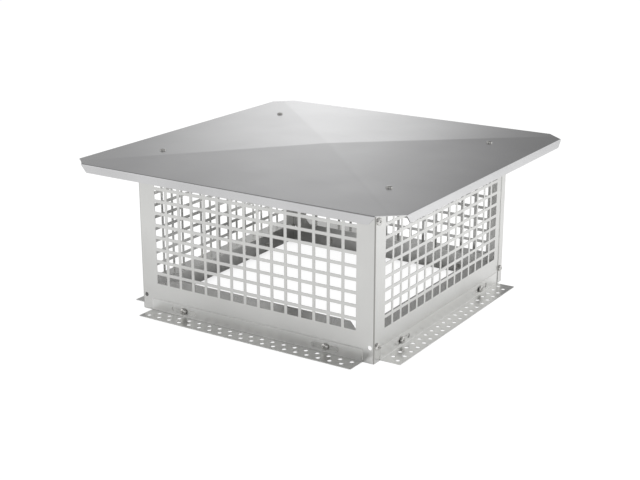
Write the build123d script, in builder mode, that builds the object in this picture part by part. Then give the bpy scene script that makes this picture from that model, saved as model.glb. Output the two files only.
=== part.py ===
from build123d import *

import math
import os

# Chimney cap of folded stainless sheet: a box of four perforated panels on outward base
# flanges, under a larger square lid. The frame has its origin at the centre of the
# underside, with X to the right, Y to the back and Z up. Lengths are in millimetres.

# The sheet that every folded piece is made of, and the inside radius of its folds
sheet = 0.8
bend = 0.8

# The body and its four perforated panels
body_side = 432.0
panel_height = 250.3
sill = 46.5
head_margin = 25.0
side_margin = 30.0
hole_width = 20.0
hole_height = 15.0
bar = 5.0
return_width = 15.0
corner_gap = 0.4
top_flange = 20.0
top_flange_relief = 14.0
open_hole_radius = 3.5
open_hole_inset = 7.3
open_hole_height = 24.0

# The inner ledges
ledge_depth = 28.0
ledge_leg = 22.0
ledge_corner = 30.0

# The base flanges
flange_width = 34.0
flange_leg = 20.0
flange_corner = 8.0
flange_end_gap = 4.0
slot_spacing = 266.0
slot_length = 48.0
slot_height = 8.0
slot_corner = 2.4
bolt_height = 10.0
fixing_radius = 2.5
fixing_pitch = 20.0
fixing_end = 12.0
fixing_edge = 10.5

# The lid
lid_side = 581.6
lid_rise = 8.5
lid_lip = 13.2
lid_hem = 9.0
lid_clip = 27.6
lid_lip_taper = 10.0
lid_rim = 6.0
lid_seat = 0.05

# Bolts, nuts and screws
bolt_head_radius = 5.8
bolt_head_height = 3.4
bolt_radius = 2.5
bolt_end = 3.0
nut_width = 8.0
nut_height = 4.0
screw_head_radius = 5.6
screw_head_height = 3.0
lid_head_radius = 5.0
lid_head_height = 2.6
screw_radius = 2.1
screw_length = 10.0
screw_low = 25.0
screw_drop = 36.3
lid_screw_inset = 8.2
lid_screw_spacing = 328.0
thread_gap = 0.1

# Small round things are drawn with a few flats
head_side_count = 12
shank_side_count = 6

# What follows from the values above
body_half = body_side / 2
fold = bend + sheet
side_face = body_half - sheet
columns = int((body_side - 2 * side_margin + bar) / (hole_width + bar))
rows = int((panel_height - sill - head_margin + bar) / (hole_height + bar))
rows_middle = sill + (rows * (hole_height + bar) - bar) / 2
screw_high = panel_height - screw_drop
flange_half = body_half - return_width - flange_end_gap
fixings = int((2 * flange_half - 2 * fixing_end) / fixing_pitch)
fixing_reach = fixings * fixing_pitch / 2
lid_half = lid_side / 2
lid_slope = lid_rise / lid_half
lid_drop = sheet * math.hypot(1, lid_slope)
lid_edge = panel_height + lid_seat + lid_drop - lid_slope * (lid_half - body_half)

# The four sides are the front one turned about Z. With each turn goes how far out the
# outer face of its panel lies: the returns of the front and back panel lie on the others.
sides = {
    "front": (0, body_half),
    "right": (90, side_face),
    "back": (180, body_half),
    "left": (270, side_face),
}

# Each corner of the body is an end of the right or the left side
corners = {
    "front_right": (90, -1),
    "back_right": (90, 1),
    "back_left": (270, -1),
    "front_left": (270, 1),
}


def turned(plane, turn):
    """A plane of the front side, turned about Z to another side."""
    return Plane(Rotation(0, 0, turn) * plane.location)


def floor_plane(turn, height=0):
    """A level plane whose Y points inward from the side."""
    return turned(Plane.XY.offset(height), turn)


def wall_plane(turn, reach):
    """The upright plane of a side, looking out, with its X to the right and its Y up."""
    return turned(Plane.XZ.offset(reach), turn)


def section_plane(turn):
    """The upright plane across the middle of a side, with its X outward and its Y up."""
    return turned(Plane(origin=(0, 0, 0), x_dir=(0, -1, 0), z_dir=(-1, 0, 0)), turn)


def lid_plane(turn, along, reach):
    """The plane of the lid's top face over a point of a side."""
    height = lid_edge + lid_slope * (lid_half - reach)
    return turned(Plane(origin=(along, -reach, height), z_dir=(0, -lid_slope, 1)), turn)


def angle(x, y, across, up):
    """The section of an angle with its corner at x, y and legs of two signed lengths."""
    inner_x = x + math.copysign(sheet, across)
    inner_y = y + math.copysign(sheet, up)
    Polygon(
        (x, y),
        (x + across, y),
        (x + across, inner_y),
        (inner_x, inner_y),
        (inner_x, y + up),
        (x, y + up),
        align=None,
    )


def perforations():
    """The rectangular holes of a panel, on its wall plane."""
    with Locations((0, rows_middle)):
        with GridLocations(hole_width + bar, hole_height + bar, columns, rows):
            Rectangle(hole_width, hole_height)


def bolt_holes():
    """The holes of a panel's two flange bolts, on its wall plane."""
    with Locations((-slot_spacing / 2, bolt_height), (slot_spacing / 2, bolt_height)):
        RegularPolygon(bolt_radius + thread_gap, shank_side_count)


def corner_holes(along):
    """The holes of the two screws at one corner, on the wall plane."""
    with Locations((along, screw_low), (along, screw_high)):
        RegularPolygon(screw_radius + thread_gap, shank_side_count)


def headed(place, spots, head_radius, head_height, shank_radius, length):
    """A bolt or screw at each of the spots on a plane, its head on the outer side."""
    with BuildPart() as fasteners:
        with BuildSketch(place):
            with Locations(*spots):
                RegularPolygon(head_radius, head_side_count)
        extrude(amount=head_height)
        with BuildSketch(place):
            with Locations(*spots):
                RegularPolygon(shank_radius, shank_side_count)
        extrude(amount=-length)
    return fasteners.part


def finish(part, name):
    """Names a piece and writes its file."""
    part.label = name
    export_step(part, f"parts/{name}.step")


os.makedirs("parts", exist_ok=True)
corner_along = body_half - return_width / 2

# Front and back panel: flat sheets that go on into the returns round the corners
for name in ("front", "back"):
    turn, reach = sides[name]
    with BuildPart() as panel:
        with BuildSketch(wall_plane(turn, reach)):
            Rectangle(2 * (body_half - fold), panel_height, align=(Align.CENTER, Align.MIN))
        extrude(amount=-sheet)
        with BuildSketch(wall_plane(turn, reach)):
            perforations()
            bolt_holes()
            open_along = body_half - open_hole_inset
            with Locations((-open_along, open_hole_height), (open_along, open_hole_height)):
                RegularPolygon(open_hole_radius, head_side_count)
        extrude(amount=-2 * sheet, mode=Mode.SUBTRACT)
    finish(panel.part, f"panel_{name}")

# Corner returns: the folded ends of the front and the back panel, which lie on the
# outside of the side panels. The sheet goes on through the joint at the start of a fold.
for name, (turn, hand) in corners.items():
    with BuildPart() as corner:
        with BuildSketch(floor_plane(turn)):
            with BuildLine():
                lip = Line(
                    (hand * (body_half - return_width), -body_half),
                    (hand * (body_half - fold), -body_half),
                )
                TangentArc(lip @ 1, (hand * body_half, fold - body_half), tangent=lip % 1)
                offset(amount=sheet, side=Side.LEFT if hand > 0 else Side.RIGHT)
            make_face()
        extrude(amount=panel_height)
        with BuildSketch(wall_plane(turn, body_half)):
            corner_holes(hand * corner_along)
        extrude(amount=-2 * sheet, mode=Mode.SUBTRACT)
    finish(corner.part, f"corner_return_{name}")

# Right and left panel: flat between the returns
panel_half = body_half - fold - corner_gap
for name in ("right", "left"):
    turn, reach = sides[name]
    with BuildPart() as panel:
        with BuildSketch(wall_plane(turn, reach)):
            Rectangle(2 * panel_half, panel_height, align=(Align.CENTER, Align.MIN))
        extrude(amount=-sheet)
        with BuildSketch(wall_plane(turn, reach)):
            perforations()
            bolt_holes()
            corner_holes(-corner_along)
            corner_holes(corner_along)
        extrude(amount=-2 * sheet, mode=Mode.SUBTRACT)
    finish(panel.part, f"panel_{name}")

# Top flanges: the heads of the right and the left panel, folded in for the lid screws
for name in ("right", "left"):
    turn, reach = sides[name]
    with BuildPart() as flange:
        with BuildSketch(floor_plane(turn, panel_height)):
            with Locations((0, sheet - reach)):
                Rectangle(
                    2 * (panel_half - top_flange_relief),
                    top_flange - sheet,
                    align=(Align.CENTER, Align.MIN),
                )
        extrude(amount=-sheet)
        for along in (-lid_screw_spacing / 2, lid_screw_spacing / 2):
            with BuildSketch(lid_plane(turn, along, reach - lid_screw_inset)):
                RegularPolygon(screw_radius + thread_gap, shank_side_count)
            extrude(amount=-4 * sheet, mode=Mode.SUBTRACT)
    finish(flange.part, f"top_flange_{name}")

# Ledges: angles behind the solid foot of the panels, their tops level with the lowest
# holes, mitred where they meet at the corners
for name, (turn, reach) in sides.items():
    face = reach - sheet
    ledge_half = body_half - ledge_corner
    with BuildPart() as ledge:
        with BuildSketch(section_plane(turn)):
            angle(face, sill, -ledge_depth, -ledge_leg)
        extrude(amount=ledge_half, both=True)
        with BuildSketch(floor_plane(turn, sill)):
            with BuildLine():
                Polyline(
                    (ledge_half, sheet - face),
                    (ledge_half, ledge_depth - face),
                    (ledge_half - ledge_depth + sheet, ledge_depth - face),
                    close=True,
                )
            make_face()
            mirror(about=Plane.YZ)
        extrude(amount=-sheet, mode=Mode.SUBTRACT)
    finish(ledge.part, f"ledge_{name}")

# Base flanges: angles on the outside of the panels, with slots for the bolts in the
# standing leg and the fixing holes in the lying one
for name, (turn, reach) in sides.items():
    with BuildPart() as flange:
        with BuildSketch(section_plane(turn)):
            angle(reach, 0, flange_width, flange_leg)
        extrude(amount=flange_half, both=True)
        with BuildSketch(wall_plane(turn, reach)) as outline:
            Rectangle(2 * flange_half, flange_leg, align=(Align.CENTER, Align.MIN))
            fillet(outline.vertices().group_by(Axis.Y)[-1], radius=flange_corner)
        extrude(amount=flange_width, mode=Mode.INTERSECT)
        with BuildSketch(wall_plane(turn, reach + sheet)) as slots:
            with Locations((-slot_spacing / 2, bolt_height), (slot_spacing / 2, bolt_height)):
                Rectangle(slot_length, slot_height)
            chamfer(slots.vertices(), length=slot_corner)
        extrude(amount=-sheet, mode=Mode.SUBTRACT)
        with BuildSketch(floor_plane(turn)):
            with Locations((-fixing_pitch / 4, fixing_edge - reach - flange_width)):
                with Locations((-fixing_reach, 0), (fixing_reach, 0)):
                    Circle(fixing_radius)
        extrude(amount=sheet, mode=Mode.SUBTRACT)
    finish(flange.part, f"base_flange_{name}")

# Hemmed lips of the lid, one along each side, tapered towards the clipped corners
lips = []
lip_foot = lid_edge - lid_lip
for turn, reach in sides.values():
    with BuildPart() as lip:
        with BuildSketch(section_plane(turn)):
            with BuildLine():
                FilletPolyline(
                    (lid_half, lip_foot),
                    (lid_half, lid_edge),
                    (lid_half - lid_rim, lid_edge + lid_slope * lid_rim),
                    radius=fold,
                )
                offset(amount=sheet, side=Side.LEFT)
            make_face()
            with Locations((lid_half, lip_foot)):
                Rectangle(2 * sheet, lid_hem, align=(Align.MAX, Align.MIN))
        extrude(amount=lid_half - lid_clip, both=True)
        with BuildSketch(wall_plane(turn, lid_half)):
            with BuildLine():
                Polyline(
                    (lid_half - lid_clip, lid_edge - fold),
                    (lid_half - lid_clip, lip_foot),
                    (lid_half - lid_clip - lid_lip_taper, lip_foot),
                    close=True,
                )
            make_face()
            mirror(about=Plane.YZ)
        extrude(amount=-2 * sheet, mode=Mode.SUBTRACT)
    lips.append(lip.part)

# Lid: one sheet, creased from corner to corner and folded down into the lips
with BuildPart() as lid:
    for height, mode in ((lid_edge, Mode.ADD), (lid_edge - lid_drop, Mode.SUBTRACT)):
        with BuildSketch(Plane.XY.offset(height), mode=Mode.PRIVATE) as outline:
            Rectangle(lid_side, lid_side)
        base = outline.sketch.face()
        loft(sections=[base, Vertex(0, 0, height + lid_rise)], mode=mode)
        extrude(base, amount=-lid_rise, mode=mode)
    with BuildSketch(Plane.XY.offset(lid_edge - lid_rise)) as outline:
        Rectangle(lid_side - 2 * fold, lid_side - 2 * fold)
        chamfer(outline.vertices(), length=lid_clip - 2 * fold)
    extrude(amount=3 * lid_rise, mode=Mode.INTERSECT)
    add(lips)
    for turn, hand in corners.values():
        place = lid_plane(turn, hand * lid_screw_spacing / 2, side_face - lid_screw_inset)
        with BuildSketch(place):
            RegularPolygon(screw_radius + thread_gap, shank_side_count)
        extrude(amount=-2 * sheet, mode=Mode.SUBTRACT)
finish(lid.part, "lid")

# Flange bolts and their nuts, one pair in each slot
for name, (turn, reach) in sides.items():
    spots = ((-slot_spacing / 2, bolt_height), (slot_spacing / 2, bolt_height))
    bolts = headed(
        wall_plane(turn, reach + sheet),
        spots,
        bolt_head_radius,
        bolt_head_height,
        bolt_radius,
        2 * sheet + nut_height + bolt_end,
    )
    finish(bolts, f"flange_bolts_{name}")
    with BuildPart() as nuts:
        with BuildSketch(wall_plane(turn, reach - sheet)):
            with Locations(*spots):
                RegularPolygon(nut_width / 2, 6, major_radius=False)
                RegularPolygon(bolt_radius + thread_gap, shank_side_count, mode=Mode.SUBTRACT)
        extrude(amount=-nut_height)
    finish(nuts.part, f"flange_nuts_{name}")

# Corner screws: two through each return into the side panel behind it
for name, (turn, hand) in corners.items():
    spots = ((hand * corner_along, screw_low), (hand * corner_along, screw_high))
    screws = headed(
        wall_plane(turn, body_half),
        spots,
        screw_head_radius,
        screw_head_height,
        screw_radius,
        screw_length,
    )
    finish(screws, f"corner_screws_{name}")

# Lid screws: down through the lid into the top flanges
for name, (turn, hand) in corners.items():
    place = lid_plane(turn, hand * lid_screw_spacing / 2, side_face - lid_screw_inset)
    screw = headed(
        place, ((0, 0),), lid_head_radius, lid_head_height, screw_radius, screw_length
    )
    finish(screw, f"lid_screw_{name}")
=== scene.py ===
import math

import bmesh
import bpy
from mathutils import Matrix, Vector
from mathutils.geometry import delaunay_2d_cdt


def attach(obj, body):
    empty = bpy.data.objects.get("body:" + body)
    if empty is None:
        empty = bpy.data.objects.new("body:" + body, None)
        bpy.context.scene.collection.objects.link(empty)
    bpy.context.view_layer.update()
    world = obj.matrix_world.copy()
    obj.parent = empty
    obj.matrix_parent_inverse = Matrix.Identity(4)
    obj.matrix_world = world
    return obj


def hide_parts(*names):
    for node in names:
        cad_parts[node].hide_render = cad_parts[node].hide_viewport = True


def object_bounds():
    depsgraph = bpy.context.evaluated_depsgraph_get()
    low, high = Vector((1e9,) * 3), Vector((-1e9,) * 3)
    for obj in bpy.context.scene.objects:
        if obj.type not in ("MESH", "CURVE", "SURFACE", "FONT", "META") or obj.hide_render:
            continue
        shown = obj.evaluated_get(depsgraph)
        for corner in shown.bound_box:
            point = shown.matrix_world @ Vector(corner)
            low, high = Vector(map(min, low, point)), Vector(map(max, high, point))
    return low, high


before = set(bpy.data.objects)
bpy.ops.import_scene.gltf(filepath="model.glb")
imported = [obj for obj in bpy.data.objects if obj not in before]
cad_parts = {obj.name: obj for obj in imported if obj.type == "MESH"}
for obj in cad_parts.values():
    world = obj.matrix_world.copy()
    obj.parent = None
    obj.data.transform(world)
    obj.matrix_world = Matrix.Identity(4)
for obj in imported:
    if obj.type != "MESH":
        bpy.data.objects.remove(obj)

cad_low, cad_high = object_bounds()

# Front and back perforated panel
# Two stainless sheets with a punched grid of holes. The press brake folds a narrow return
# round each corner of the body, and the returns lie on the outside of the side panels.
# Lengths are in millimetres until a mesh is made.
mm = 0.001
gauge = 0.8
bend = 0.8
fold = gauge + bend
fold_steps = 6
turn_length = fold * math.pi / 2
body_half = 216.0
panel_height = 250.3
return_width = 15.0
sill = 46.5
hole_width, hole_height, bar = 20.0, 15.0, 5.0
columns, rows = 15, 9
slot_spacing = 266.0
bolt_height = 10.0
bolt_hole_radius, screw_hole_radius = 2.6, 2.2
open_hole_along, open_hole_height, open_hole_radius = 208.7, 24.0, 3.5
screw_heights = (25.0, 214.0)
turns = {"front": 0, "right": 90, "back": 180, "left": 270}


def colour(hex_text):
    """An sRGB hex value as linear red, green, blue and alpha."""
    parts = [int(hex_text[i : i + 2], 16) / 255 for i in (1, 3, 5)]
    linear = [p / 12.92 if p <= 0.04045 else ((p + 0.055) / 1.055) ** 2.4 for p in parts]
    return (*linear, 1.0)


def add_node(tree, kind, settings=None, *ordered, **named):
    """A shader node with its properties, then its inputs in order or by name, each of them
    a value or the socket that feeds it."""
    node = tree.nodes.new(kind)
    for key, value in (settings or {}).items():
        setattr(node, key, value)
    given = list(zip(node.inputs, ordered))
    given += [(node.inputs[key.replace("_", " ")], value) for key, value in named.items()]
    for socket, value in given:
        if isinstance(value, bpy.types.NodeSocket):
            tree.links.new(value, socket)
        else:
            socket.default_value = value
    return node


def rolled_stainless(name, tints, roughness):
    """Stainless steel sheet as the cold rolling mill leaves it, annealed and pickled: a soft
    mirror with faint rolling lines, slow clouds of tone and a slight waviness. The real
    lines are finer than 0.1 mm, and are drawn 1.7 mm apart so that they show."""
    line_length, line_pitch, line_height = 25.0, 1.6667, 0.02
    cloud_size = 111.11
    wave_size, wave_height = 166.67, 0.6
    material = bpy.data.materials.new(name)
    material.use_nodes = True
    tree = material.node_tree
    shader = tree.nodes["Principled BSDF"]
    place = add_node(tree, "ShaderNodeTexCoord").outputs["Object"]
    along, across = 1 / (line_length * mm), 1 / (line_pitch * mm)
    stretched = add_node(
        tree, "ShaderNodeMapping", Vector=place, Scale=(along, across, across)
    )
    lines = add_node(
        tree,
        "ShaderNodeTexNoise",
        Vector=stretched.outputs["Vector"],
        Scale=1.0,
        Detail=4.0,
        Roughness=0.6,
    )
    clouds = add_node(
        tree, "ShaderNodeTexNoise", Vector=place, Scale=1 / (cloud_size * mm), Detail=3.0
    )
    tones = add_node(tree, "ShaderNodeValToRGB", Fac=clouds.outputs["Fac"])
    for stop, position, tint in zip(tones.color_ramp.elements, (0.3, 0.7), tints):
        stop.position = position
        stop.color = colour(tint)
    tree.links.new(tones.outputs["Color"], shader.inputs["Base Color"])
    rough = add_node(
        tree,
        "ShaderNodeMapRange",
        Value=lines.outputs["Fac"],
        To_Min=roughness - 0.03,
        To_Max=roughness + 0.04,
    )
    tree.links.new(rough.outputs["Result"], shader.inputs["Roughness"])
    waves = add_node(
        tree, "ShaderNodeTexNoise", Vector=place, Scale=1 / (wave_size * mm), Detail=1.0
    )
    wavy = add_node(
        tree,
        "ShaderNodeBump",
        Height=waves.outputs["Fac"],
        Strength=1.0,
        Distance=wave_height * mm,
    )
    lined = add_node(
        tree,
        "ShaderNodeBump",
        Height=lines.outputs["Fac"],
        Strength=0.4,
        Distance=line_height * mm,
        Normal=wavy.outputs["Normal"],
    )
    tree.links.new(lined.outputs["Normal"], shader.inputs["Normal"])
    shader.inputs["Metallic"].default_value = 1.0
    return material


# The panels are mill-finished stainless steel, a pale grey that mirrors the floor softly.
sheet_steel = rolled_stainless("rolled_stainless_2b", ("#D8D8D6", "#E0E0DE"), 0.24)

# The same sheet at the folds round the corners, where the brake's die has stretched and scuffed
# it, which is duller. Its tone is also painted darker there, as painted shade that draws a
# darker line down each corner.
braked_steel = rolled_stainless(
    "rolled_stainless_press_braked", ("#A09F9C", "#AAA9A6"), 0.34
)


def arc(cx, cy, radius, start, end, count):
    """Points of an arc, with its angles in degrees."""
    steps = [math.radians(start + (end - start) * i / count) for i in range(count + 1)]
    return [(cx + radius * math.cos(a), cy + radius * math.sin(a)) for a in steps]


def ring(cx, cy, radius, count=24):
    """A round hole."""
    return arc(cx, cy, radius, 0, 360, count)[:-1]


def block(cx, cy, width, height):
    """A rectangular hole."""
    x, y = width / 2, height / 2
    return [(cx - x, cy - y), (cx + x, cy - y), (cx + x, cy + y), (cx - x, cy + y)]


def inside(point, loop):
    """Whether a point of the flat blank lies in a closed loop."""
    x, y = point
    odd = False
    for (ax, ay), (bx, by) in zip(loop, loop[1:] + loop[:1]):
        if (ay > y) != (by > y) and x < ax + (y - ay) / (by - ay) * (bx - ax):
            odd = not odd
    return odd


def cut_flat(outline, holes, folds):
    """Points and faces of a flat blank, with its holes cut out and edges along its folds."""
    points, edges = [], []
    for loop in [outline, *holes]:
        first = len(points)
        points += [Vector(p) for p in loop]
        edges += [(first + i, first + (i + 1) % len(loop)) for i in range(len(loop))]
    for a, b in folds:
        points += [Vector(a), Vector(b)]
        edges.append((len(points) - 2, len(points) - 1))
    inner_faces, tolerance = 1, 1e-5
    flat, _, faces, _, _, _ = delaunay_2d_cdt(points, edges, [], inner_faces, tolerance)
    boxes = []
    for hole in holes:
        xs, ys = [p[0] for p in hole], [p[1] for p in hole]
        boxes.append((min(xs), max(xs), min(ys), max(ys), hole))
    kept = []
    for face in faces:
        x = sum(flat[i].x for i in face) / len(face)
        y = sum(flat[i].y for i in face) / len(face)
        cut = any(
            a < x < b and c < y < d and inside((x, y), hole) for a, b, c, d, hole in boxes
        )
        if not cut and inside((x, y), outline):
            kept.append(face)
    return [(p.x, p.y) for p in flat], kept


def run(legs, side=1):
    """A function from a length along a bent section to its place and outward normal there.
    Legs are straights (x, y, dx, dy, length) and folds (cx, cy, radius, start, end)."""

    def at(s):
        for i, leg in enumerate(legs):
            kind, *v = leg
            length = v[4] if kind == "straight" else v[2] * math.radians(abs(v[4] - v[3]))
            if s <= length + 1e-6 or i == len(legs) - 1:
                break
            s -= length
        if kind == "straight":
            x, y, dx, dy, _ = v
            return (x + dx * s, y + dy * s), (side * dy, -side * dx)
        cx, cy, radius, start, end = v
        a = math.radians(start) + math.copysign(s / radius, end - start)
        return (cx + radius * math.cos(a), cy + radius * math.sin(a)), (math.cos(a), math.sin(a))

    return at


def place_piece(obj):
    """Puts a piece into the scene as part of the one fixed body."""
    bpy.context.scene.collection.objects.link(obj)
    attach(obj, "root")


def solid_sheet(name, skin, normals, faces, turn, material, bent=None):
    """A sheet of one gauge behind a skin of faces, turned about Z to its side. The faces of its
    bends, which a test on each corner finds, get the duller steel of the folds, whose darker
    tone is painted shade."""
    a, b, c = faces[0][:3]
    if (skin[b] - skin[a]).cross(skin[c] - skin[a]).dot(normals[a]) < 0:
        faces = [list(reversed(face)) for face in faces]
    count = len(skin)
    back = [p - n * gauge for p, n in zip(skin, normals)]
    polygons = [tuple(f) for f in faces] + [tuple(i + count for i in reversed(f)) for f in faces]
    directed = set()
    for face in faces:
        directed.update(zip(face, [*face[1:], face[0]]))
    edge_faces = [(b, a, a + count, b + count) for a, b in directed if (b, a) not in directed]
    mesh = bpy.data.meshes.new(name)
    spin = Matrix.Rotation(math.radians(turn), 3, "Z")
    mesh.from_pydata([spin @ p * mm for p in skin + back], [], polygons + edge_faces)
    mesh.materials.append(material)
    if bent:
        # The corner folds take the steel whose darker tone is painted shade.
        mesh.materials.append(braked_steel)
        for polygon, face in zip(mesh.polygons, faces):
            polygon.material_index = int(all(bent(i) for i in face))
    mesh.shade_smooth()
    mesh.set_sharp_from_angle(angle=math.radians(30))
    obj = bpy.data.objects.new(name, mesh)
    weighted = obj.modifiers.new("flat_faces", "WEIGHTED_NORMAL")
    weighted.keep_sharp = True
    place_piece(obj)
    return obj


mesh_holes = []
for column in range(columns):
    for row in range(rows):
        x = (column - (columns - 1) / 2) * (hole_width + bar)
        z = sill + hole_height / 2 + row * (hole_height + bar)
        mesh_holes.append(block(x, z, hole_width, hole_height))
bolt_spots = (-slot_spacing / 2, slot_spacing / 2)
bolt_holes = [ring(x, bolt_height, bolt_hole_radius) for x in bolt_spots]

flat_half = body_half - fold
lip = return_width - fold
end = flat_half + turn_length + lip
section = run(
    [
        ("straight", -body_half, -body_half + return_width, 0, -1, lip),
        ("fold", -flat_half, -flat_half, fold, 180, 270),
        ("straight", -flat_half, -body_half, 1, 0, 2 * flat_half),
        ("fold", flat_half, -flat_half, fold, 270, 360),
        ("straight", body_half, -flat_half, 0, 1, lip),
    ]
)
screw_along = flat_half + turn_length + return_width / 2 - fold
screw_holes = [
    ring(side * screw_along, z, screw_hole_radius) for side in (-1, 1) for z in screw_heights
]
open_holes = [
    ring(side * open_hole_along, open_hole_height, open_hole_radius) for side in (-1, 1)
]
folds = []
for side in (-1, 1):
    for step in range(fold_steps + 1):
        s = side * (flat_half + turn_length * step / fold_steps)
        folds.append(((s, 0.0), (s, panel_height)))
outline = [(-end, 0.0), (end, 0.0), (end, panel_height), (-end, panel_height)]
flat, faces = cut_flat(outline, mesh_holes + bolt_holes + screw_holes + open_holes, folds)
skin, normals = [], []
for s, z in flat:
    (x, y), (nx, ny) = section(s + end)
    skin.append(Vector((x, y, z)))
    normals.append(Vector((nx, ny, 0)))


def in_corner_fold(i, slack=0.01):
    """Whether a point of the blank lies in one of the two corner folds."""
    return flat_half - slack <= abs(flat[i][0]) <= flat_half + turn_length + slack


for name in ("front", "back"):
    panel = solid_sheet(
        f"perforated_panel_{name}",
        skin,
        normals,
        faces,
        turns[name],
        sheet_steel,
        bent=in_corner_fold,
    )
    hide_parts(f"panel_{name}", f"corner_return_{name}_left", f"corner_return_{name}_right")

# Right and left perforated panel
# The same punched stainless sheet, flat between the returns of the other two. Its head is
# folded inward into a flange under the lid, which takes the lid screws.
side_face = body_half - gauge
corner_gap = 0.4
top_flange, top_flange_relief = 20.0, 14.0


def fold_up(flat, section):
    """Places and normals of a blank whose folds run along X, bent up to its section."""
    skin, normals = [], []
    for x, s in flat:
        (y, z), (ny, nz) = section(s)
        skin.append(Vector((x, y, z)))
        normals.append(Vector((0, ny, nz)))
    return skin, normals


def fold_lines(half, start):
    """Lines across a blank that let one fold bend smoothly."""
    lengths = [start + turn_length * step / fold_steps for step in range(fold_steps + 1)]
    return [((-half, s), (half, s)) for s in lengths]


panel_half = body_half - fold - corner_gap
top_half = panel_half - top_flange_relief
upright = panel_height - fold
depth = top_flange - fold
end = upright + turn_length + depth
section = run(
    [
        ("straight", -side_face, 0.0, 0, 1, upright),
        ("fold", -side_face + fold, upright, fold, 180, 90),
        ("straight", -side_face + fold, panel_height, 1, 0, depth),
    ],
    side=-1,
)
corner_along = body_half - return_width / 2
screw_holes = [
    ring(side * corner_along, z, screw_hole_radius) for side in (-1, 1) for z in screw_heights
]
outline = [
    (-panel_half, 0.0),
    (panel_half, 0.0),
    (panel_half, upright),
    (top_half, upright),
    (top_half, end),
    (-top_half, end),
    (-top_half, upright),
    (-panel_half, upright),
]
holes = mesh_holes + bolt_holes + screw_holes
flat, faces = cut_flat(outline, holes, fold_lines(top_half, upright))
skin, normals = fold_up(flat, section)
for name in ("right", "left"):
    panel = solid_sheet(
        f"perforated_panel_{name}", skin, normals, faces, turns[name], sheet_steel
    )
    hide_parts(f"panel_{name}", f"top_flange_{name}")

# Base flanges
# Four stainless angles on the outside of the panels. Two slots in the standing leg let them
# slide up or down, and two staggered rows of small holes take the fixings into the masonry.
reaches = {"front": body_half, "right": side_face, "back": body_half, "left": side_face}
flange_width, flange_leg, flange_corner = 34.0, 20.0, 2.5
flange_half = 197.0
slot_length, slot_height = 48.0, 8.0
fixing_radius, fixing_count, fixing_pitch = 3.5, 19, 20.0
outer_row, outer_start = 10.5, -185.0
inner_row, inner_start = 24.0, -175.0

# The flanges are stainless that has been handled more, so its mirror is duller, and the holes
# and bolts leave no clear reflection in it. Its tone is painted lighter than the panels', as
# painted light that makes the strip read brighter.
flange_steel = rolled_stainless("rolled_stainless_dull_flange", ("#E2E2E0", "#EAEAE8"), 0.32)


def slot_hole(cx, cy, length, height):
    """A slot with round ends."""
    r = height / 2
    reach = length / 2 - r
    return arc(cx + reach, cy, r, -90, 90, 10) + arc(cx - reach, cy, r, 90, 270, 10)


lying = flange_width - fold
standing = flange_leg - fold
end = lying + turn_length + standing
corner_x, corner_s = flange_half - flange_corner, end - flange_corner
outline = [
    (-flange_half, 0.0),
    (flange_half, 0.0),
    *arc(corner_x, corner_s, flange_corner, 0, 90, 8),
    *arc(-corner_x, corner_s, flange_corner, 90, 180, 8),
]
slot_along = lying + turn_length + bolt_height - fold
holes = [slot_hole(x, slot_along, slot_length, slot_height) for x in bolt_spots]
for i in range(fixing_count):
    holes.append(ring(outer_start + fixing_pitch * i, outer_row, fixing_radius))
    holes.append(ring(inner_start + fixing_pitch * i, inner_row, fixing_radius))
flat, faces = cut_flat(outline, holes, fold_lines(flange_half, lying))
for name, turn in turns.items():
    reach = reaches[name]
    section = run(
        [
            ("straight", -reach - flange_width, 0.0, 1, 0, lying),
            ("fold", -reach - fold, fold, fold, 270, 360),
            ("straight", -reach, fold, 0, 1, standing),
        ]
    )
    skin, normals = fold_up(flat, section)
    piece = solid_sheet(
        f"slotted_base_flange_{name}", skin, normals, faces, turn, flange_steel
    )
    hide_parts(f"base_flange_{name}")

# Lid
# One square stainless sheet with clipped corners, cross-broken from corner to corner so that
# rain runs off. Its sides are folded down, and the foot of each is turned back as a hem.
lid_half, lid_edge, lid_rise = 290.8, 249.01, 8.5
lid_slope = lid_rise / lid_half
lid_lip, lid_hem, lip_taper = 13.4, 9.0, 10.0
lid_clips = {
    "front": (24.5, 31.5),
    "right": (27.6, 26.0),
    "back": (29.0, 27.6),
    "left": (27.6, 22.5),
}
crease, crease_margin = 2.0, 24.0
crease_offsets = (-6.0, -3.0, -1.2, 0.0, 1.2, 3.0, 6.0)
hem_gap = 0.05
lid_screw_x, lid_screw_y = 207.0, 164.0

# The lid is the smoothest of the sheets, cold rolled and a little bluer, so that it mirrors
# the studio in broad gradients that change at each crease.
lid_steel = rolled_stainless("rolled_stainless_2b_lid", ("#D4D4D5", "#DCDCDD"), 0.18)


def lid_height(x, y):
    """Height of the lid's top face, with its creases slightly rounded."""
    a, b = abs(x), abs(y)
    farther = (a + b + math.hypot(a - b, crease)) / 2
    return lid_edge + lid_slope * (lid_half - farther)


def lid_normal(x, y, step=0.5):
    """Normal of the lid's top face, from the heights round a point."""
    fall_x = lid_height(x - step, y) - lid_height(x + step, y)
    fall_y = lid_height(x, y - step) - lid_height(x, y + step)
    return Vector((fall_x, fall_y, 2 * step)).normalized()


def near(p):
    """A place rounded to a tenth of a millimetre, to find the same corner twice."""
    return round(p.x, 1), round(p.y, 1), round(p.z, 1)


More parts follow.
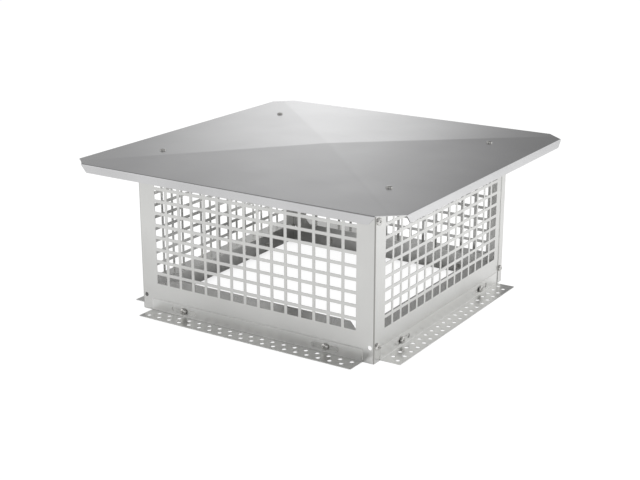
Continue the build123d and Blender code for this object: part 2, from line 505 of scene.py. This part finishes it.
tilt = math.atan(lid_slope)
top_reach = lid_half - fold + fold * math.sin(tilt)
fold_height = lid_edge + lid_slope * fold - fold / math.cos(tilt)
lip_foot = lid_edge - lid_lip
hem_radius = gauge + hem_gap
outline = []
for name, turn in turns.items():
    spin = Matrix.Rotation(math.radians(turn), 2)
    left, right = lid_clips[name]
    outline.append(spin @ Vector((left - top_reach, -top_reach)))
    outline.append(spin @ Vector((top_reach - right, -top_reach)))
creases = []
reach = lid_half - crease_margin
for off in crease_offsets:
    d = off / math.sqrt(2)
    creases.append(((d - reach, -d - reach), (d + reach, reach - d)))
    creases.append(((d - reach, d + reach), (d + reach, d - reach)))
lid_holes = [
    ring(x, y, screw_hole_radius)
    for x in (-lid_screw_x, lid_screw_x)
    for y in (-lid_screw_y, lid_screw_y)
]
flat, faces = cut_flat(outline, lid_holes, creases)
skin = [Vector((x, y, lid_height(x, y))) for x, y in flat]
normals = [lid_normal(x, y) for x, y in flat]
places = {near(p): i for i, p in enumerate(skin)}

# Reach, height and outward normal down the fold, the lip and the hem on its inner side
section = [
    (lid_half - fold + x, fold_height + z, x / fold, z / fold)
    for x, z in arc(0, 0, fold, 90 - math.degrees(tilt), 0, fold_steps)
]
section.append((lid_half, lip_foot + hem_radius, 1, 0))
for x, z in arc(0, 0, hem_radius, 0, -180, 8)[1:]:
    spot = (lid_half - hem_radius + x, lip_foot + hem_radius + z)
    section.append((*spot, x / hem_radius, z / hem_radius))
section.append((lid_half - 2 * hem_radius, lip_foot + lid_hem, -1, 0))
for name, turn in turns.items():
    spin = Matrix.Rotation(math.radians(turn), 3, "Z")
    before = None
    for i, (r, z, nr, nz) in enumerate(section):
        taper = 0.0
        if i > fold_steps:
            taper = lip_taper * (fold_height - z) / (fold_height - lip_foot)
        ends = []
        for side, clip in zip((-1, 1), lid_clips[name]):
            point = spin @ Vector((side * (top_reach - clip - taper), -r, z))
            if i == 0 and near(point) in places:
                ends.append(places[near(point)])
            else:
                skin.append(point)
                normals.append(spin @ Vector((0, -nr, nz)))
                ends.append(len(skin) - 1)
        if before:
            faces.append([before[0], ends[0], ends[1], before[1]])
        before = ends
lid = solid_sheet("creased_lid", skin, normals, faces, 0, lid_steel)
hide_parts("lid")

# Flange bolts and nuts
# Stainless pan head machine screws, cold headed and thread rolled, through the slots of the
# base flanges. Each is held by a hexagon nut on the inside of the body.
nut_across, nut_height, nut_twist = 8.0, 4.0, 30
nut_chamfer, nut_bore, nut_face = 0.5, 2.5, 3.9
thread_pitch, thread_start, thread_stop = 0.8, 0.5, 0.6

# Cold headed stainless steel, tumbled bright, which gives each head a small sharp glint with
# a soft rim. Tumbling leaves finer scuffs, drawn 1.1 mm long so that they show.
scuff_size = 1.1111
bright_steel = bpy.data.materials.new("cold_headed_stainless_bright")
bright_steel.use_nodes = True
tree = bright_steel.node_tree
shader = tree.nodes["Principled BSDF"]
shader.inputs["Base Color"].default_value = colour("#DAD9D6")
shader.inputs["Metallic"].default_value = 1.0
place = add_node(tree, "ShaderNodeTexCoord").outputs["Object"]
scuffs = add_node(
    tree, "ShaderNodeTexNoise", Vector=place, Scale=1 / (scuff_size * mm), Detail=2.0
)
rough = add_node(
    tree, "ShaderNodeMapRange", Value=scuffs.outputs["Fac"], To_Min=0.12, To_Max=0.24
)
tree.links.new(rough.outputs["Result"], shader.inputs["Roughness"])


def hexagon(across_flats):
    """The radius of a hexagon as a function of the angle."""
    return lambda a: across_flats / 2 / math.cos((a + math.pi / 6) % (math.pi / 3) - math.pi / 6)


def lathe(rings, segments):
    """A mesh turned about Z through rings of a radius, or a radius by angle, and a height."""
    points, polygons = [], []
    for radius, z in rings:
        for i in range(segments):
            a = 2 * math.pi * i / segments
            r = radius(a) if callable(radius) else radius
            points.append((r * math.cos(a), r * math.sin(a), z))
    for ring_index in range(len(rings) - 1):
        for i in range(segments):
            j = (i + 1) % segments
            a, b = ring_index * segments, (ring_index + 1) * segments
            polygons.append((a + i, b + i, b + j, a + j))
    return points, polygons


def headed_mesh(name, head_radius, head_height, shank_radius, length):
    """A pan head screw along Z, its head above zero, with a cross recess and a thread."""
    centre, tip, root = 0.001, shank_radius * 0.7, shank_radius * 0.84
    rings = [(centre, -length), (tip, -length)]
    z = thread_start - length
    while z < -thread_stop:
        rings += [(shank_radius, z), (root, z + thread_pitch / 2)]
        z += thread_pitch
    rings += [(shank_radius, 0.0), (head_radius * 0.97, 0.0), (head_radius, 0.25)]
    dome = ((0.985, 0.45), (0.93, 0.68), (0.8, 0.86), (0.6, 0.95), (0.3, 0.99))
    rings += [(head_radius * across, head_height * up) for across, up in dome]
    rings.append((centre, head_height))
    points, polygons = lathe(rings, 32)
    mesh = bpy.data.meshes.new(name)
    mesh.from_pydata([Vector(p) * mm for p in points], [], polygons)
    body = bmesh.new()
    body.from_mesh(mesh)
    bmesh.ops.remove_doubles(body, verts=body.verts, dist=0.00001)
    bmesh.ops.recalc_face_normals(body, faces=body.faces)
    body.to_mesh(mesh)
    body.free()

    # The punch that leaves the recess is a cross of two tapered blades.
    cutter = bpy.data.meshes.new(name + "_recess")
    tool = bmesh.new()
    for wide, long in ((0.2, 1.2), (1.2, 0.2)):
        made = bmesh.ops.create_cube(tool, size=1.0)["verts"]
        for v in made:
            shrink = 1.0 if v.co.z > 0 else 0.55
            v.co.x *= head_radius * wide * (shrink if wide > 0.5 else 1) * mm
            v.co.y *= head_radius * long * (shrink if long > 0.5 else 1) * mm
            v.co.z = (head_height * (1.3 if v.co.z > 0 else 0.4)) * mm
    tool.to_mesh(cutter)
    tool.free()
    blank = bpy.data.objects.new(name, mesh)
    knife = bpy.data.objects.new(name + "_recess", cutter)
    for obj in (blank, knife):
        bpy.context.scene.collection.objects.link(obj)
    cut = blank.modifiers.new("cross_recess", "BOOLEAN")
    cut.operation = "DIFFERENCE"
    cut.object = knife
    cut.use_self = True
    made = bpy.data.meshes.new_from_object(
        blank.evaluated_get(bpy.context.evaluated_depsgraph_get())
    )
    for obj in (blank, knife):
        bpy.data.objects.remove(obj)
    return made


def scatter(name, base, spots, node):
    """Copies of a mesh at several places, as the piece that stands for one node."""
    gathered = bmesh.new()
    for spot in spots:
        copy = base.copy()
        copy.transform(spot)
        gathered.from_mesh(copy)
        bpy.data.meshes.remove(copy)
    mesh = bpy.data.meshes.new(name)
    gathered.to_mesh(mesh)
    gathered.free()
    mesh.materials.clear()
    mesh.materials.append(bright_steel)
    mesh.shade_smooth()
    mesh.set_sharp_from_angle(angle=math.radians(38))
    obj = bpy.data.objects.new(name, mesh)
    place_piece(obj)
    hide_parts(node)


def on_wall(turn, reach, along, height, twist):
    """Where a fastener sits on the outer face of a side, its head outward."""
    return (
        Matrix.Rotation(math.radians(turn), 4, "Z")
        @ Matrix.Translation(Vector((along, -reach, height)) * mm)
        @ Matrix.Rotation(math.radians(90), 4, "X")
        @ Matrix.Rotation(math.radians(twist), 4, "Z")
    )


def next_twist(twist):
    """How far the next screw is driven, in degrees, so that their recesses don't line up."""
    return (twist * 7 + 31) % 90


bolt = headed_mesh(
    "bolt_blank", head_radius=5.8, head_height=3.4, shank_radius=2.5, length=8.6
)
nut_rings = [
    (nut_bore, 0.0),
    (nut_face, 0.0),
    (hexagon(nut_across), nut_chamfer),
    (hexagon(nut_across), nut_height - nut_chamfer),
    (nut_face, nut_height),
    (nut_bore, nut_height),
    (nut_bore, 0.0),
]
points, polygons = lathe(nut_rings, 48)
nut = bpy.data.meshes.new("nut_blank")
nut.from_pydata([Vector(p) * mm for p in points], [], polygons)
twist = 20
for name, turn in turns.items():
    reach = reaches[name]
    spots = []
    for along in bolt_spots:
        twist = next_twist(twist)
        spots.append(on_wall(turn, reach + gauge, along, bolt_height, twist))
    scatter(f"pan_head_bolts_{name}", bolt, spots, f"flange_bolts_{name}")
    behind = reach - gauge - nut_height
    spots = [on_wall(turn, behind, along, bolt_height, nut_twist) for along in bolt_spots]
    scatter(f"hexagon_nuts_{name}", nut, spots, f"flange_nuts_{name}")

# Corner and lid screws
# Bright stainless pan head sheet metal screws. Two at each corner hold the return to the
# side panel behind it, and one near each corner holds the lid to a top flange.
corner_screw = headed_mesh(
    "corner_screw_blank", head_radius=5.6, head_height=3.0, shank_radius=2.1, length=10.0
)
lid_screw = headed_mesh(
    "lid_screw_blank", head_radius=5.0, head_height=2.6, shank_radius=2.1, length=10.0
)
off_middle = 1.5
corner_screw_along = body_half - return_width / 2 - off_middle
seat = lid_edge + lid_slope * (lid_half - lid_screw_x)

# Turn of the side that the corner's screws are in, which end of it, and the lid's quarter
corners = {
    "front_right": (90, -1, 1, -1),
    "back_right": (90, 1, 1, 1),
    "back_left": (270, -1, -1, 1),
    "front_left": (270, 1, -1, -1),
}
for name, (turn, hand, x_side, y_side) in corners.items():
    spots = []
    for height in screw_heights:
        twist = next_twist(twist)
        spots.append(on_wall(turn, body_half, hand * corner_screw_along, height, twist))
    scatter(f"pan_head_corner_screws_{name}", corner_screw, spots, f"corner_screws_{name}")
    twist = next_twist(twist)
    spot = (
        Matrix.Translation(Vector((x_side * lid_screw_x, y_side * lid_screw_y, seat)) * mm)
        @ Matrix.Rotation(x_side * tilt, 4, "Y")
        @ Matrix.Rotation(math.radians(twist), 4, "Z")
    )
    scatter(f"pan_head_lid_screw_{name}", lid_screw, [spot], f"lid_screw_{name}")

# Inner ledges
# Four stainless angles, spot welded behind the solid foot of the panels, that rest on the
# flue's rim. They are plain folds, so their solids are shown as they are, in the same sheet.
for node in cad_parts.values():
    node.data.materials.clear()
    node.data.materials.append(sheet_steel)

# Floor
# A pale matt floor without an edge in view, glowing bright enough to read as white. Its glow is
# painted darker close to the object by ambient occlusion, as painted shade beside the softboxes'
# real shadow, and polished steel mirrors a dimmer glow of it, painted darker still by occlusion
# where the lid covers it.
floor_reach, floor_gap = 12.0, 0.0002
shadow_reach, cover_reach = 0.06, 0.3
floor_white = bpy.data.materials.new("pale_floor")
floor_white.use_nodes = True
tree = floor_white.node_tree
tree.nodes.clear()
path = add_node(tree, "ShaderNodeLightPath")
seen = add_node(
    tree,
    "ShaderNodeMath",
    {"operation": "MAXIMUM"},
    path.outputs["Is Camera Ray"],
    path.outputs["Is Transmission Ray"],
)
# Painted shade: the glow that the camera sees is darkened by ambient occlusion close to the
# object.
close_by = add_node(
    tree, "ShaderNodeAmbientOcclusion", {"samples": 8}, Distance=shadow_reach
)
shaded_white = add_node(
    tree,
    "ShaderNodeMapRange",
    Value=close_by.outputs["AO"],
    From_Min=0.1,
    From_Max=0.35,
    To_Min=0.1,
    To_Max=0.96,
)
glow_white = add_node(
    tree,
    "ShaderNodeMath",
    {"operation": "MULTIPLY"},
    seen.outputs[0],
    shaded_white.outputs["Result"],
)
# Painted shade: the glow that the steel mirrors is darkened by ambient occlusion under the lid.
under_cover = add_node(
    tree, "ShaderNodeAmbientOcclusion", {"samples": 4}, Distance=cover_reach
)
open_floor = add_node(
    tree,
    "ShaderNodeMapRange",
    Value=under_cover.outputs["AO"],
    From_Min=0.28,
    From_Max=0.42,
    To_Min=0.05,
    To_Max=0.45,
)
glow_mirrored = add_node(
    tree,
    "ShaderNodeMath",
    {"operation": "MULTIPLY_ADD"},
    path.outputs["Is Glossy Ray"],
    open_floor.outputs["Result"],
    glow_white.outputs[0],
)
glow = add_node(
    tree, "ShaderNodeEmission", Color=colour("#FFFFFF"), Strength=glow_mirrored.outputs[0]
)
paint = add_node(
    tree,
    "ShaderNodeMix",
    {"data_type": "RGBA"},
    Factor=seen.outputs[0],
    A=colour("#C8C8C8"),
    B=colour("#6A6A6A"),
)
matt = add_node(tree, "ShaderNodeBsdfDiffuse", Color=paint.outputs["Result"])
both = add_node(tree, "ShaderNodeAddShader", None, glow.outputs[0], matt.outputs[0])
add_node(tree, "ShaderNodeOutputMaterial", Surface=both.outputs[0])

floor_mesh = bpy.data.meshes.new("floor")
floor_corners = ((-1, -1), (1, -1), (1, 1), (-1, 1))
floor_mesh.from_pydata(
    [(x * floor_reach, y * floor_reach, 0) for x, y in floor_corners], [], [(0, 1, 2, 3)]
)
floor = bpy.data.objects.new("floor", floor_mesh)
bpy.context.scene.collection.objects.link(floor)
floor.location.z = cad_low[2] - floor_gap
floor_mesh.materials.append(floor_white)

# Light
# A dim room with a brighter ceiling and a few broad bright walls, which is what the steel
# mirrors, and two softboxes for the floor. All headings turn from the back to the left.
world = bpy.data.worlds.new("studio")
bpy.context.scene.world = world
world.use_nodes = True
tree = world.node_tree
background = tree.nodes["Background"]
direction = add_node(tree, "ShaderNodeTexCoord").outputs["Generated"]
split = add_node(tree, "ShaderNodeSeparateXYZ", Vector=direction)
level = add_node(tree, "ShaderNodeCombineXYZ", X=split.outputs["X"], Y=split.outputs["Y"])
level_way = add_node(
    tree, "ShaderNodeVectorMath", {"operation": "NORMALIZE"}, level.outputs[0]
)


def bright_wall(below, heading, inner, outer, low, high, brightness):
    """Adds a bright stretch of wall to the world. It is even up to the inner angle from its
    heading and gone at the outer one, and it fades out from the low to the high elevation."""
    h = math.radians(heading)
    facing = add_node(
        tree,
        "ShaderNodeVectorMath",
        {"operation": "DOT_PRODUCT"},
        level_way.outputs[0],
        (-math.sin(h), math.cos(h), 0),
    )
    angle = add_node(
        tree, "ShaderNodeMath", {"operation": "ARCCOSINE"}, facing.outputs["Value"]
    )
    across = add_node(
        tree,
        "ShaderNodeMapRange",
        {"interpolation_type": "SMOOTHSTEP"},
        Value=angle.outputs[0],
        From_Min=math.radians(inner),
        From_Max=math.radians(outer),
        To_Min=brightness,
        To_Max=0.0,
    )
    upward = add_node(
        tree,
        "ShaderNodeMapRange",
        {"interpolation_type": "SMOOTHSTEP"},
        Value=split.outputs["Z"],
        From_Min=math.sin(math.radians(low)),
        From_Max=math.sin(math.radians(high)),
        To_Min=1.0,
        To_Max=0.0,
    )
    added = add_node(
        tree,
        "ShaderNodeMath",
        {"operation": "MULTIPLY_ADD"},
        across.outputs["Result"],
        upward.outputs["Result"],
        below,
    )
    return added.outputs[0]


ceiling = add_node(
    tree,
    "ShaderNodeMapRange",
    {"interpolation_type": "SMOOTHSTEP"},
    Value=split.outputs["Z"],
    From_Min=0.85,
    From_Max=0.97,
    To_Min=0.24,
    To_Max=0.8,
)
# Heading, inner and outer angle, low and high elevation, brightness
walls = (
    (32.4, 0, 11.5, 3.5, 27, 0.93),
    (90, 46, 65, 19, 37, 0.16),
    (131, 9, 20, 14, 40, 0.95),
    (-40, 10, 60, 26, 44, 0.85),
    (-128, 0, 40, 10, 40, 0.5),
)
light = ceiling.outputs["Result"]
for wall in walls:
    light = bright_wall(light, *wall)
path = add_node(tree, "ShaderNodeLightPath")
strength = add_node(
    tree, "ShaderNodeMath", {"operation": "MAXIMUM"}, light, path.outputs["Is Camera Ray"]
)
tree.links.new(strength.outputs[0], background.inputs["Strength"])
background.inputs["Color"].default_value = colour("#FFFFFF")


def softbox(name, heading, elevation, distance, width, height, power):
    """A large soft lamp aimed at the object. It stays out of the steel's reflections, which
    would burn out where they show it."""
    lamp = bpy.data.lights.new(name, "AREA")
    lamp.shape = "RECTANGLE"
    lamp.size, lamp.size_y = width, height
    lamp.energy = power
    obj = bpy.data.objects.new(name, lamp)
    bpy.context.scene.collection.objects.link(obj)
    a, e = math.radians(heading), math.radians(elevation)
    away = Vector((-math.sin(a) * math.cos(e), math.cos(a) * math.cos(e), math.sin(e)))
    obj.location = Vector((0, 0, 0.15)) + away * distance
    obj.rotation_euler = away.to_track_quat("Z", "Y").to_euler()
    obj.visible_camera = False
    obj.visible_glossy = False


softbox(
    "right_softbox", heading=-72, elevation=38, distance=1.4, width=1.2, height=0.9, power=11.0
)
softbox(
    "left_softbox", heading=94, elevation=38, distance=1.8, width=2.0, height=1.3, power=11.0
)

# Camera
# It stands at the photograph's viewing angle, which was solved from the grid of holes in the
# two panels that face it.
camera = bpy.data.objects.new("camera", bpy.data.cameras.new("camera"))
bpy.context.scene.collection.objects.link(camera)
camera.location = (1.0574, -1.6654, 0.7256)
camera.rotation_euler = (math.radians(72.235), 0, math.radians(32.792))
camera.data.lens = 70.66
camera.data.sensor_width = 36.0
bpy.context.scene.camera = camera
bpy.context.scene.view_settings.view_transform = "Standard"
